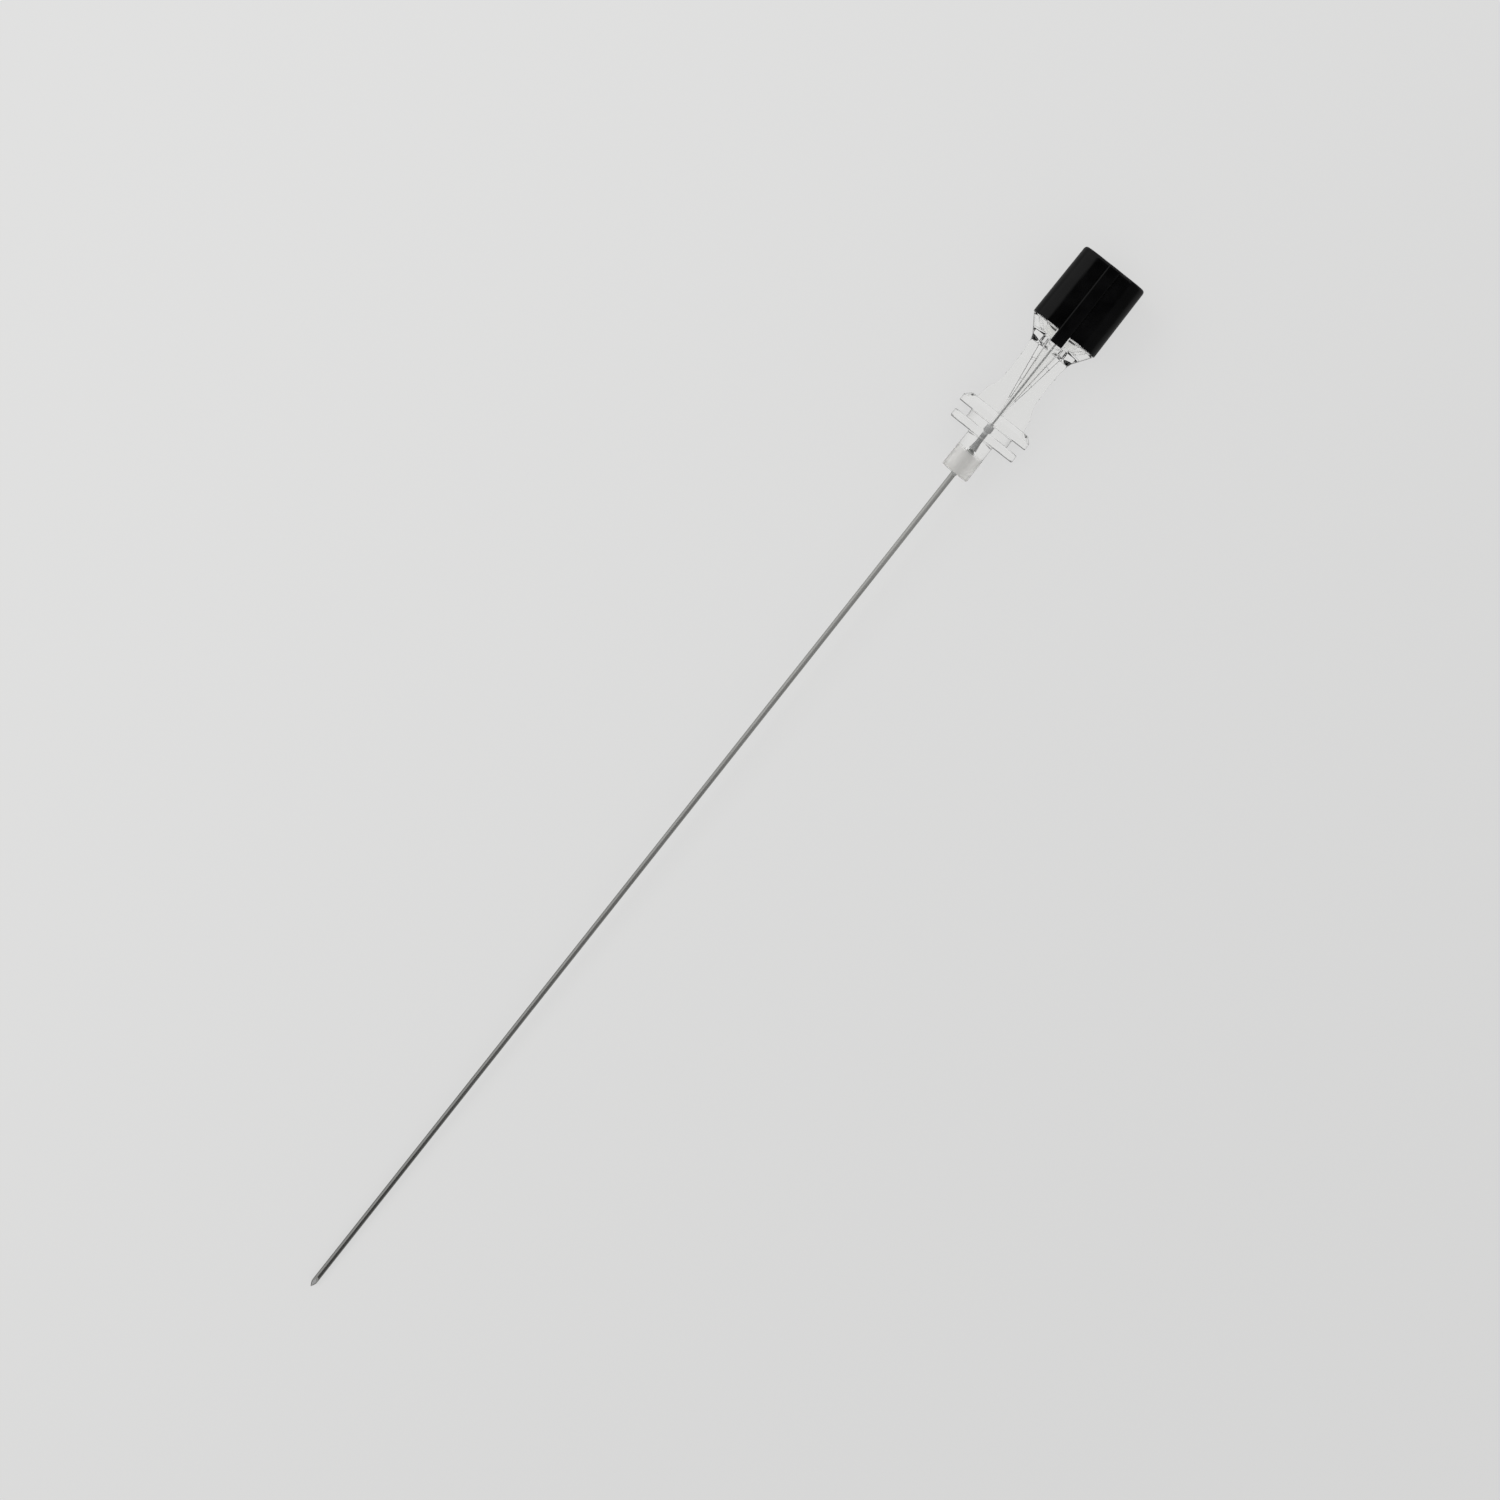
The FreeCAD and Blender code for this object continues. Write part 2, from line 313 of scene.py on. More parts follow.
def cylinder(place: Triple, radius: float, length: float, sides: int, turn: Triple = (0, 0, 0)) -> Piece:
    """Adds a cylinder at its size and place.

    Args:
        place: Its middle.
        radius: Its radius.
        length: Its length.
        sides: How many sides it has.
        turn: How it is turned from upright, along +Z.

    Returns:
        The new piece.
    """
    start_fresh()
    bpy.ops.mesh.primitive_cylinder_add(
        vertices=sides, radius=radius, depth=length, location=place, rotation=turn)
    settle(bpy.context.object)
    return bpy.context.object


def fit(piece: Piece, other: Piece, how: Fit) -> None:
    """Joins another solid to a piece, or cuts it out, and removes it.

    Args:
        piece: The piece that stays.
        other: The solid that is used up.
        how: Whether it is joined or cut out.
    """
    pick(piece)
    work = piece.modifiers.new(how.value.title(), "BOOLEAN")
    work.operation = how.value
    work.solver = "EXACT"
    work.object = other
    bpy.ops.object.modifier_apply(modifier=work.name)
    bpy.data.meshes.remove(other.data)


def smooth(piece: Piece, angle: float = 32.0) -> None:
    """Shades a piece's gentle edges smooth and keeps its flat faces flat.

    Args:
        piece: The piece.
        angle: The sharpest edge that is smoothed, in degrees.
    """
    pick(piece)
    bpy.ops.object.shade_smooth_by_angle(angle=math.radians(angle))
    even = piece.modifiers.new("Even", "WEIGHTED_NORMAL")
    even.keep_sharp = True
    even.weight = 100
    bpy.ops.object.modifier_apply(modifier=even.name)


# The needle's place in the row frame


class NeedleAxis:
    """The needle's own axis in the row frame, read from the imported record."""

    def __init__(self, record: dict, socket_station: float) -> None:
        """Works out where the axis runs.

        Args:
            record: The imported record.
            socket_station: The luer mouth's station, where the record has a mount.
        """
        socket = next(m for m in record["mounts"] if m["name"] == "luer_socket")
        self.along = Vector(socket["axis"]).normalized()
        side = Vector((0.0, 1.0, 0.0))
        front = self.along.cross(side)
        self.origin = Vector(socket["pos_m"]) - self.along * socket_station * MM
        turn = Matrix((self.along, side, front)).transposed()
        self.matrix = Matrix.Translation(self.origin) @ turn.to_4x4()

    def lay_down(self, piece: Piece) -> None:
        """Moves a finished piece from the axis's millimetres to the row frame's metres.

        Args:
            piece: The piece, still at its own origin.
        """
        piece.matrix_world = self.matrix @ Matrix.Scale(MM, 4)
        settle(piece)


# Finishes


@dataclass(frozen=True)
class Pattern:
    """A noise pattern that follows the needle's axis.

    Attributes:
        scale: Its scale, per metre.
        detail: How many finer layers it has.
        stretch: What a place along the axis and across it is multiplied by.
    """

    scale: float
    detail: float = 3.0
    stretch: Triple = (1.0, 1.0, 1.0)


class Shades:
    """The nodes of one material or of the room's light, with short calls that add and link them."""

    def __init__(self, owner: bpy.types.Material | bpy.types.World) -> None:
        """Starts with nothing but an output node.

        Args:
            owner: The new material or world.
        """
        self.owner = owner
        owner.use_nodes = True
        self.tree = owner.node_tree
        self.tree.nodes.clear()
        self.output = self.add("ShaderNodeOutput" + type(owner).__name__)

    def add(self, kind: str, *values: object, **settings: object) -> bpy.types.Node:
        """Adds a node. A value is a socket to link, or a plain one.

        Args:
            kind: The node's type.
            *values: The values of its first inputs, with None for one that stays as it is.
            **settings: Its attributes, or with a leading v_ the values of its inputs by name.

        Returns:
            The node.
        """
        node = self.tree.nodes.new(kind)
        named = {key: value for key, value in settings.items() if key.startswith("v_")}
        for key, value in settings.items():
            if key not in named:
                setattr(node, key, value)
        pairs = [*zip(node.inputs, values)]
        pairs += [(node.inputs[key[2:].replace("_", " ")], value) for key, value in named.items()]
        for target, value in pairs:
            if isinstance(value, Socket):
                self.tree.links.new(value, target)
            elif value is not None:
                target.default_value = value
        return node

    def work_out(self, operation: str, first: Socket | float, second: Socket | float) -> Socket:
        """Adds, multiplies or compares two numbers."""
        return self.add("ShaderNodeMath", first, second, operation=operation).outputs[0]

    def choose(self, share: Socket, other: Socket | float, chosen: Socket | float) -> Socket:
        """Gives the one number where the share is 0 and the chosen one where it is 1."""
        return self.add("ShaderNodeMix", share, None, other, chosen).outputs[0]

    def blend(self, share: Socket, first: Socket, second: Socket | tuple[float, ...]) -> Socket:
        """Gives the first colour where the share is 0 and the second where it is 1."""
        return self.add("ShaderNodeMix", share, *[None] * 5, first, second, data_type="RGBA").outputs[2]

    def bump(self, height: Socket, relief: Pair) -> Socket:
        """Gives the normal that a height makes, from the relief's strength and its depth in millimetres."""
        skin = self.add("ShaderNodeBump", v_Height=height, v_Strength=relief[0], v_Distance=relief[1] * MM)
        return skin.outputs["Normal"]

    def finished(self, shader: bpy.types.Node) -> bpy.types.Material | bpy.types.World:
        """Puts the last shader on the output, and gives the material or world."""
        self.tree.links.new(shader.outputs[0], self.output.inputs["Surface"])
        return self.owner

    def by_ray(self, other: float, camera: float, gloss: Socket | float, clear: Socket | float) -> Socket:
        """Chooses a number by the kind of ray that asks for it.

        Args:
            other: The number for the light's own rays.
            camera: The number for what the camera sees.
            gloss: The number for a reflection.
            clear: The number for what is seen through clear plastic.

        Returns:
            The result.
        """
        path = self.add("ShaderNodeLightPath")
        number = self.choose(path.outputs["Is Camera Ray"], other, camera)
        number = self.choose(path.outputs["Is Glossy Ray"], number, gloss)
        return self.choose(path.outputs["Is Transmission Ray"], number, clear)

    def along(self, axis: NeedleAxis, stretch: Triple = (1.0, 1.0, 1.0)) -> Socket:
        """Gives the place on the piece along and across the needle's axis.

        Args:
            axis: The needle's axis.
            stretch: What each direction is multiplied by.

        Returns:
            The place.
        """
        place = self.add("ShaderNodeTexCoord").outputs["Object"]
        turn = self.add("ShaderNodeMapping", place, vector_type="TEXTURE", v_Location=axis.origin,
                        v_Rotation=axis.matrix.to_euler())
        return self.add("ShaderNodeMapping", turn.outputs["Vector"], v_Scale=stretch).outputs["Vector"]

    def station(self, axis: NeedleAxis) -> Socket:
        """Gives how far along the needle's axis a place on the piece is, in metres."""
        return self.add("ShaderNodeSeparateXYZ", self.along(axis)).outputs["X"]

    def noise(self, axis: NeedleAxis, pattern: Pattern) -> Socket:
        """Gives a noise pattern.

        Args:
            axis: The needle's axis.
            pattern: The pattern.

        Returns:
            The number at each place.
        """
        place = self.along(axis, pattern.stretch)
        scale, detail = pattern.scale, pattern.detail
        return self.add("ShaderNodeTexNoise", v_Vector=place, v_Scale=scale, v_Detail=detail).outputs["Fac"]

    def spread(self, source: Socket, low: float, high: float, start: float = 0.3, end: float = 0.7,
               eased: bool = False) -> Socket:
        """Spreads a number over a range.

        Args:
            source: The number.
            low: What start becomes.
            high: What end becomes.
            start: Where the range begins. The range of a noise pattern is the default.
            end: Where it ends.
            eased: True for a soft start and end.

        Returns:
            The result.
        """
        kind = "SMOOTHSTEP" if eased else "LINEAR"
        reach = self.add("ShaderNodeMapRange", source, start, end, low, high, interpolation_type=kind)
        return reach.outputs["Result"]

    def tint(self, source: Socket, dark: Sequence[float], light: Sequence[float]) -> Socket:
        """Turns a number into a colour between two.

        Args:
            source: The number, 0 to 1.
            dark: The colour at 0.
            light: The colour at 1.

        Returns:
            The colour.
        """
        ramp = self.add("ShaderNodeValToRGB", source)
        ramp.color_ramp.elements[0].color = (*dark, 1.0)
        ramp.color_ramp.elements[1].color = (*light, 1.0)
        return ramp.outputs["Color"]


@dataclass(frozen=True)
class ClearPlastic:
    """The hub's clear moulded plastic, frosted from the nose face up to a station."""

    ior: float = 1.53
    cloudy: Triple = (0.972, 0.972, 0.962)
    clear: Triple = (0.996, 0.996, 0.99)
    shadow: Triple = (0.93, 0.94, 0.94)
    frost_top: float = 3.05
    frost_fade: float = 0.35
    frost_wander: float = 0.15
    frost_roughness: float = 0.5
    frost_body: float = 0.3
    frost_colour: Triple = (0.95, 0.94, 0.92)
    wander: Pattern = Pattern(900.0)
    flow: Pattern = Pattern(700.0, stretch=(0.25, 1.0, 1.0))
    grain: Pattern = Pattern(14000.0, 2.0)
    relief: Pair = (0.5, 0.02)

    def frost(self, s: Shades, axis: NeedleAxis) -> Socket:
        """Gives how frosted each place is.

        Args:
            s: The material's nodes.
            axis: The needle's axis.

        Returns:
            1 on the nose and 0 above it.
        """
        reach = self.frost_wander * MM
        edge = s.work_out("ADD", s.station(axis), s.spread(s.noise(axis, self.wander), -reach, reach))
        ends = [(self.frost_top + way * self.frost_fade) * MM for way in (-1, 1)]
        return s.spread(edge, 1.0, 0.0, *ends, eased=True)

    def material(self, axis: NeedleAxis) -> bpy.types.Material:
        """Builds the material.

        Args:
            axis: The needle's axis, which the frosting follows.

        Returns:
            The material.
        """
        s = Shades(bpy.data.materials.new("clear_plastic"))
        frost = self.frost(s, axis)
        flow = s.spread(s.noise(axis, self.flow), 0.0, 1.0)
        grain = s.work_out("MULTIPLY", s.noise(axis, self.grain), frost)
        skin = s.add(
            "ShaderNodeBsdfPrincipled", v_IOR=self.ior,
            v_Base_Color=s.blend(frost, s.tint(flow, self.cloudy, self.clear), (*self.frost_colour, 1.0)),
            v_Roughness=s.spread(frost, 0.0, self.frost_roughness, 0.0, 1.0),
            v_Transmission_Weight=s.spread(frost, 1.0, 1.0 - self.frost_body, 0.0, 1.0),
            v_Normal=s.bump(grain, self.relief))
        shadow = s.add("ShaderNodeBsdfTransparent", (*self.shadow, 1.0))
        ray = s.add("ShaderNodeLightPath").outputs["Is Shadow Ray"]
        return s.finished(s.add("ShaderNodeMixShader", ray, skin.outputs[0], shadow.outputs[0]))


@dataclass(frozen=True)
class BlackGloss:
    """The stylet cap's black moulded plastic, with faint sink marks."""

    ior: float = 1.41
    dark: Triple = (0.001, 0.001, 0.0011)
    light: Triple = (0.0022, 0.0022, 0.0024)
    roughness: Pair = (0.16, 0.26)
    cloud: Pattern = Pattern(420.0)
    sink: Pattern = Pattern(520.0, 2.0, (0.4, 1.0, 1.0))
    relief: Pair = (0.5, 0.12)

    def material(self, axis: NeedleAxis) -> bpy.types.Material:
        """Builds the material.

        Args:
            axis: The needle's axis, which the moulding's flow follows.

        Returns:
            The material.
        """
        s = Shades(bpy.data.materials.new("black_gloss"))
        cloud = s.noise(axis, self.cloud)
        return s.finished(s.add(
            "ShaderNodeBsdfPrincipled", v_IOR=self.ior,
            v_Base_Color=s.tint(s.spread(cloud, 0.0, 1.0), self.dark, self.light),
            v_Roughness=s.spread(cloud, *self.roughness),
            v_Normal=s.bump(s.noise(axis, self.sink), self.relief)))


@dataclass(frozen=True)
class DrawnSteel:
    """Stainless steel with fine lines along it, duller towards the hub and etched where it is glued in, with
    painted light and shade along the etched end.
    """

    name: str = "drawn_steel"
    dark: Triple = (0.5, 0.5, 0.48)
    light: Triple = (0.68, 0.68, 0.66)
    lines: Pattern = Pattern(9000.0, 4.0, (0.012, 1.0, 1.0))
    cloud: Pattern = Pattern(1200.0, 2.0, (0.2, 1.0, 1.0))
    cloud_share: float = 0.35
    relief: Pair = (0.35, 0.006)
    roughness: Pair = (0.16, 0.3)
    roughness_run: Pair = (0.1, 0.9)
    dulled_run: Pair = (-110.0, 0.0)
    dulling: float = 1.6
    dulled_metal: float = 0.66
    # The etched end's greys by station, painted with the light and shade seen through the hub.
    seat: tuple[Pair, ...] = ()
    seat_roughness: float = 0.5
    seat_fade: float = 0.01

    def seat_greys(self, s: Shades, climb: Socket) -> Socket:
        """Gives the etched end's grey at each station, with painted light and shade in it.

        Args:
            s: The material's nodes.
            climb: 0 where the etched end begins, 1 where it ends.

        Returns:
            The colour.
        """
        (low, first), *inner, (high, last) = self.seat
        greys = s.tint(climb, (first,) * 3, (last,) * 3)
        for station, grey in inner:
            stop = greys.node.color_ramp.elements.new((station - low) / (high - low))
            stop.color = (grey, grey, grey, 1.0)
        return greys

    def material(self, axis: NeedleAxis) -> bpy.types.Material:
        """Builds the material.

        Args:
            axis: The needle's axis, which the lines follow.

        Returns:
            The material.
        """
        s = Shades(bpy.data.materials.new(self.name))
        lines = s.noise(axis, self.lines)
        cloud = s.work_out("MULTIPLY", s.noise(axis, self.cloud), self.cloud_share)
        both = s.work_out("ADD", cloud, s.spread(lines, 0.0, 1.0 - self.cloud_share))
        station = s.station(axis)
        run = [place * MM for place in self.dulled_run]
        colour = s.tint(both, self.dark, self.light)
        sheen = s.spread(both, *reversed(self.roughness), *self.roughness_run)
        rough = s.work_out("MULTIPLY", sheen, s.spread(station, 1.0, self.dulling, *run))
        metal = s.spread(station, 1.0, self.dulled_metal, *run)
        # The etched end: rougher, not metal, and coloured by station with painted light and shade.
        if self.seat:
            climb = s.spread(station, 0.0, 1.0, self.seat[0][0] * MM, self.seat[-1][0] * MM)
            etched_and_shaded = s.spread(climb, 0.0, 1.0, 0.0, self.seat_fade)
            colour = s.blend(etched_and_shaded, colour, self.seat_greys(s, climb))
            rough = s.work_out("MAXIMUM", rough, s.work_out("MULTIPLY", etched_and_shaded, self.seat_roughness))
            metal = s.work_out("MULTIPLY", metal, s.spread(etched_and_shaded, 1.0, 0.0, 0.0, 1.0))
        return s.finished(s.add(
            "ShaderNodeBsdfPrincipled", v_Base_Color=colour, v_Roughness=rough, v_Metallic=metal,
            v_Normal=s.bump(lines, self.relief)))


@dataclass(frozen=True)
class GroundSteel:
    """The ground faces of the point, with fine lines across them."""

    name: str = "ground_tube"
    dark: Triple = (0.12, 0.12, 0.115)
    light: Triple = (0.27, 0.27, 0.26)
    roughness: Pair = (0.22, 0.38)
    lines: Pattern = Pattern(30000.0, 3.0, (1.0, 0.06, 0.06))
    relief: Pair = (0.3, 0.004)

    def material(self, axis: NeedleAxis) -> bpy.types.Material:
        """Builds the material.

        Args:
            axis: The needle's axis, which the lines run across.

        Returns:
            The material.
        """
        s = Shades(bpy.data.materials.new(self.name))
        lines = s.noise(axis, self.lines)
        return s.finished(s.add(
            "ShaderNodeBsdfPrincipled", v_Metallic=1.0,
            v_Base_Color=s.tint(s.spread(lines, 0.0, 1.0), self.dark, self.light),
            v_Roughness=s.spread(lines, *self.roughness),
            v_Normal=s.bump(lines, self.relief)))


@dataclass(frozen=True)
class CuredAdhesive:
    """The clear adhesive that holds the tube in the nose, with a few small bubbles."""

    ior: float = 1.5
    clearness: float = 0.6
    bubble: Triple = (0.66, 0.67, 0.66)
    body: Triple = (0.8, 0.81, 0.8)
    roughness: Pair = (0.1, 0.3)
    bubble_scale: float = 2600.0
    bubble_edge: Pair = (0.1, 0.3)
    cloud: Pattern = Pattern(2500.0)
    relief: Pair = (0.3, 0.03)

    def material(self, axis: NeedleAxis) -> bpy.types.Material:
        """Builds the material.

        Args:
            axis: The needle's axis.

        Returns:
            The material.
        """
        s = Shades(bpy.data.materials.new("cured_adhesive"))
        bubbles = s.add("ShaderNodeTexVoronoi", v_Vector=s.along(axis), v_Scale=self.bubble_scale)
        rings = s.spread(bubbles.outputs["Distance"], 0.0, 1.0, *self.bubble_edge)
        return s.finished(s.add(
            "ShaderNodeBsdfPrincipled", v_IOR=self.ior, v_Transmission_Weight=self.clearness,
            v_Base_Color=s.tint(rings, self.bubble, self.body),
            v_Roughness=s.spread(s.noise(axis, self.cloud), *self.roughness),
            v_Normal=s.bump(rings, self.relief)))


@dataclass(frozen=True)
class PaleFloor:
    """A plain pale ground that keeps a soft shadow, with a painted pool of light that makes it lighter
    towards +Y. The camera sees most of it as a glow of its own.
    """

    # Painted pool of light: the ground's colour goes from near to far, lighter on the side lamp's side.
    near: Triple = (0.670, 0.670, 0.668)
    far: Triple = (0.745, 0.745, 0.742)
    near_to_far: Triple = (0.15, 0.99, 0.0)
    reach: float = 0.13
    glow: float = 0.86
    clear_glow: float = 1.08
    gloss_glow: float = 0.34

    def material(self) -> bpy.types.Material:
        """Builds the material.

        Returns:
            The material.
        """
        s = Shades(bpy.data.materials.new("pale_floor"))
        s.owner.cycles.emission_sampling = "NONE"
        place = s.add("ShaderNodeTexCoord").outputs["Object"]
        # How far along the painted pool of light each place lies.
        across = s.add("ShaderNodeVectorMath", place, self.near_to_far, operation="DOT_PRODUCT")
        painted_light_pool = s.spread(across.outputs["Value"], 0.0, 1.0, -self.reach, self.reach, eased=True)
        colour = s.tint(painted_light_pool, self.near, self.far)
        matt = s.add("ShaderNodeBsdfDiffuse", colour).outputs[0]
        lit = s.add("ShaderNodeMixShader", s.by_ray(1.0, 1.0 - self.glow, 0.0, 0.0), None, matt)
        glow = s.by_ray(0.0, self.glow, self.gloss_glow, self.clear_glow)
        shine = s.add("ShaderNodeEmission", colour, glow)
        return s.finished(s.add("ShaderNodeAddShader", lit.outputs[0], shine.outputs[0]))


# The pieces


def dress(piece: Piece, axis: NeedleAxis, body: str, node: str, *finishes: bpy.types.Material) -> None:
    """Lays a finished piece down, gives it its materials and hangs it on its body in a node's place.

    Args:
        piece: The piece.
        axis: The needle's axis.
        body: The CAD body that it rides on.
        node: The CAD node that it stands for, which it hides.
        *finishes: Its materials, in the order of its faces' numbers.
    """
    axis.lay_down(piece)
    piece.data.materials.clear()
    for finish in finishes:
        piece.data.materials.append(finish)
    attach(piece, body)
    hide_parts(node)
    log.info("%s: %d faces, rides on %s", piece.name, len(piece.data.polygons), body)


@dataclass(frozen=True)
class LuerSocket:
    """The female luer socket inside the collar, with its two lugs."""

    mouth: float = 28.0
    end: float = 19.2
    bore: float = 4.3
    taper: float = 0.06
    radius: float = 2.7
    foot_ease: float = 0.1
    rim_ease: float = 0.12
    lug_radius: float = 3.9
    lug_half_width: float = 1.7
    lug_thickness: float = 1.0
    lug_drop: float = 0.02
    lug_ease: float = 0.12
    lug_bite: float = 0.2

    def taper_radius(self, station: float) -> float:
        """Gives the taper's radius at a station."""
        return (self.bore - self.taper * (self.mouth - station)) / 2

    def lugs(self) -> Piece:
        """Makes the two lugs across the mouth, as one bar with round ends.

        Returns:
            The bar, open in the middle for the socket.
        """
        middle = self.mouth - self.lug_thickness / 2 - self.lug_drop
        bar = cylinder((middle, 0, 0), self.lug_radius, self.lug_thickness, sides=96, turn=ALONG)
        for side in (1, -1):
            edit(bar)
            bpy.ops.mesh.select_all(action="SELECT")
            bpy.ops.mesh.bisect(plane_co=(0, 0, side * self.lug_half_width), plane_no=(0, 0, side),
                                use_fill=True, clear_outer=True)
            bpy.ops.object.mode_set(mode="OBJECT")
        break_edges(bar, self.lug_ease, 3, lambda a, b: abs(a.x - b.x) < TINY)
        inner = self.radius - self.lug_bite
        core = cylinder((self.mouth, 0, 0), inner, 3 * self.lug_thickness, sides=64, turn=ALONG)
        fit(bar, core, Fit.DIFFERENCE)
        return bar


@dataclass(frozen=True)
class KeySlot:
    """The slot in the collar's front that takes the cap's key."""

    bottom: float = 19.4
    top: float = 22.5
    half_width: float = 0.965
    corner: float = 0.4
    inner_face: float = 2.75
    outer_face: float = 4.4
    hollow: float = 0.22

    def cutter(self) -> Piece:
        """Makes the block that cuts the slot.

        Returns:
            The cutter.
        """
        y = self.half_width
        piece = block((self.bottom, self.top), (-y, y), (self.inner_face, self.outer_face))
        break_edges(piece, self.corner, 8, lambda a, b: max(a.x, b.x) < self.bottom + NEAR
                    and abs(a.y - b.y) < TINY)
        break_edges(piece, self.hollow, 5, lambda a, b: max(a.z, b.z) < self.inner_face + NEAR
                    and max(a.x, b.x) < self.bottom + self.corner + NEAR)
        return piece


@dataclass(frozen=True)
class GripRidges:
    """The round ridges across each side of the waist."""

    places: tuple[Pair, ...] = ((10.7, 6.6), (13.6, 5.1), (16.6, 5.12))
    radius: float = 0.22
    proud: float = 0.1
    length: float = 5.2
    end_ease: float = 0.06

    def add_to(self, hub: Piece) -> None:
        """Makes one ridge and joins a copy of it to the hub at each place, on both sides.

        Args:
            hub: The hub.
        """
        bar = cylinder((0, 0, 0), self.radius, self.length, sides=32)
        break_edges(bar, self.end_ease, 2, lambda a, b: abs(a.z - b.z) < TINY)
        for station, width in self.places:
            for side in (1, -1):
                pick(bar)
                bpy.ops.object.duplicate()
                ridge = bpy.context.object
                ridge.location = (station, side * (width / 2 - self.radius + self.proud), 0)
                settle(ridge)
                fit(hub, ridge, Fit.UNION)
        bpy.data.meshes.remove(bar.data)


@dataclass(frozen=True)
class Hub:
    """The clear hub: nose, neck, two grip flanges, waist, collar cup, and the bore through them all."""

    nose_radius: float = 1.875
    nose_top: float = 3.2
    nose_ease: float = 0.2
    neck_radius: float = 1.85
    neck_step: float = 0.05
    neck_root: Section = Section(5.3, 3.66, 3.62, 1.3, 0.2)
    step_ease: float = 0.02
    lower_flange: Pair = (5.3, 6.3)
    lower_flange_size: Pair = (9.5, 8.0)
    lower_flange_ease: float = 0.18
    core_radius: float = 3.15
    upper_flange: Pair = (7.5, 9.05)
    upper_flange_size: Pair = (10.1, 8.6)
    upper_flange_foot_ease: float = 0.08
    upper_flange_bevel: float = 0.75
    upper_flange_draw: float = 0.15
    flange_corner: float = 1.3
    ease: float = 0.12
    waist_depth: float = 6.0
    waist_break: float = 0.15
    waist_widths: tuple[Pair, ...] = (
        (9.05, 7.2), (9.8, 6.93), (10.6, 6.64), (10.95, 6.42), (11.4, 6.02), (11.9, 5.6), (12.4, 5.32),
        (12.9, 5.16), (13.4, 5.1), (14.8, 5.1), (16.3, 5.1), (16.9, 5.16), (17.5, 5.3), (18.1, 5.46),
        (18.6, 5.62))
    collar: tuple[Section, ...] = (
        Section(18.68, 5.67, 6.05, 2.5, 0.03), Section(19.25, 6.0, 6.2, 0.5, 0.05),
        Section(19.9, 6.9, 6.3, 0.9, 0.05), Section(21.5, 9.1, 7.6, 2.2, 0.08))
    cup_mouth: Section = Section(21.5, 7.9, 6.4, 1.9, 0.08)
    cup_floor: Section = Section(20.3, 6.4, 5.7, 1.6, 0.1)
    funnel_top: float = 19.12
    funnel_top_radius: float = 1.8
    funnel_top_ease: float = 0.015
    funnel_bottom: float = 10.2
    funnel_bottom_ease: float = 0.3
    seat_radius: float = 0.365
    glued_radius: float = 0.345
    glued_top: float = 7.32
    glued_step: float = 0.05
    well_radius: float = 0.8
    well_depth: float = 2.6
    well_cone_top: float = 3.6
    socket: LuerSocket = LuerSocket()
    slot: KeySlot = KeySlot()
    ridges: GripRidges = GripRidges()
    finish: ClearPlastic = ClearPlastic()

    def flanges(self) -> list[Section]:
        """Gives the sections of the two flanges and the round core between them.

        Returns:
            The sections in order.
        """
        low, low_top = self.lower_flange
        up, up_top = self.upper_flange
        wide, deep = self.upper_flange_size
        corner, ease = self.flange_corner, self.ease
        bevel, draw = self.upper_flange_bevel, self.upper_flange_draw
        return [
            Section(low, *self.lower_flange_size, corner, self.lower_flange_ease),
            Section(low_top, *self.lower_flange_size, corner, self.lower_flange_ease),
            disc(low_top, self.core_radius, ease),
            disc(up, self.core_radius, ease),
            Section(up, wide, deep, corner, self.upper_flange_foot_ease),
            Section(up_top - bevel, wide, deep, corner, ease),
            Section(up_top, wide - 2 * bevel, deep - 2 * draw, corner, ease),
        ]

    def outside(self) -> list[Section]:
        """Gives the sections of the outside, from the nose face to the collar's rim.

        Returns:
            The sections in order.
        """
        waist = [Section(at, width, self.waist_depth, self.waist_break) for at, width in self.waist_widths]
        return [
            disc(0.0, self.nose_radius, self.nose_ease),
            disc(self.nose_top, self.nose_radius, self.step_ease),
            disc(self.nose_top + self.neck_step, self.neck_radius, self.step_ease),
            self.neck_root,
            *self.flanges(),
            *waist,
            *self.collar,
        ]

    def inside(self) -> list[Section]:
        """Gives the sections of the cup, the socket and the bore, from the rim back to the nose's well.

        Returns:
            The sections in order.
        """
        socket = self.socket
        return [
            self.cup_mouth,
            self.cup_floor,
            disc(self.cup_floor.station, socket.radius, socket.foot_ease),
            disc(socket.mouth, socket.radius, socket.rim_ease),
            disc(socket.mouth, socket.taper_radius(socket.mouth), socket.rim_ease),
            disc(socket.end, socket.taper_radius(socket.end), self.funnel_top_ease),
            disc(self.funnel_top, self.funnel_top_radius, self.funnel_top_ease),
            disc(self.funnel_bottom, self.seat_radius, self.funnel_bottom_ease),
            disc(self.glued_top, self.seat_radius),
            disc(self.glued_top - self.glued_step, self.glued_radius),
            disc(self.well_cone_top, self.glued_radius),
            disc(self.well_depth, self.well_radius),
        ]

    def build(self, axis: NeedleAxis) -> None:
        """Builds the hub.

        Args:
            axis: The needle's axis.
        """
        well = disc(0.0, self.well_radius)
        hub = loft("hub_body", softened([well, *self.outside(), *self.inside()]), ring=True)
        self.ridges.add_to(hub)
        fit(hub, self.socket.lugs(), Fit.UNION)
        fit(hub, self.slot.cutter(), Fit.DIFFERENCE)
        smooth(hub)
        dress(hub, axis, "needle", "hub", self.finish.material(axis))


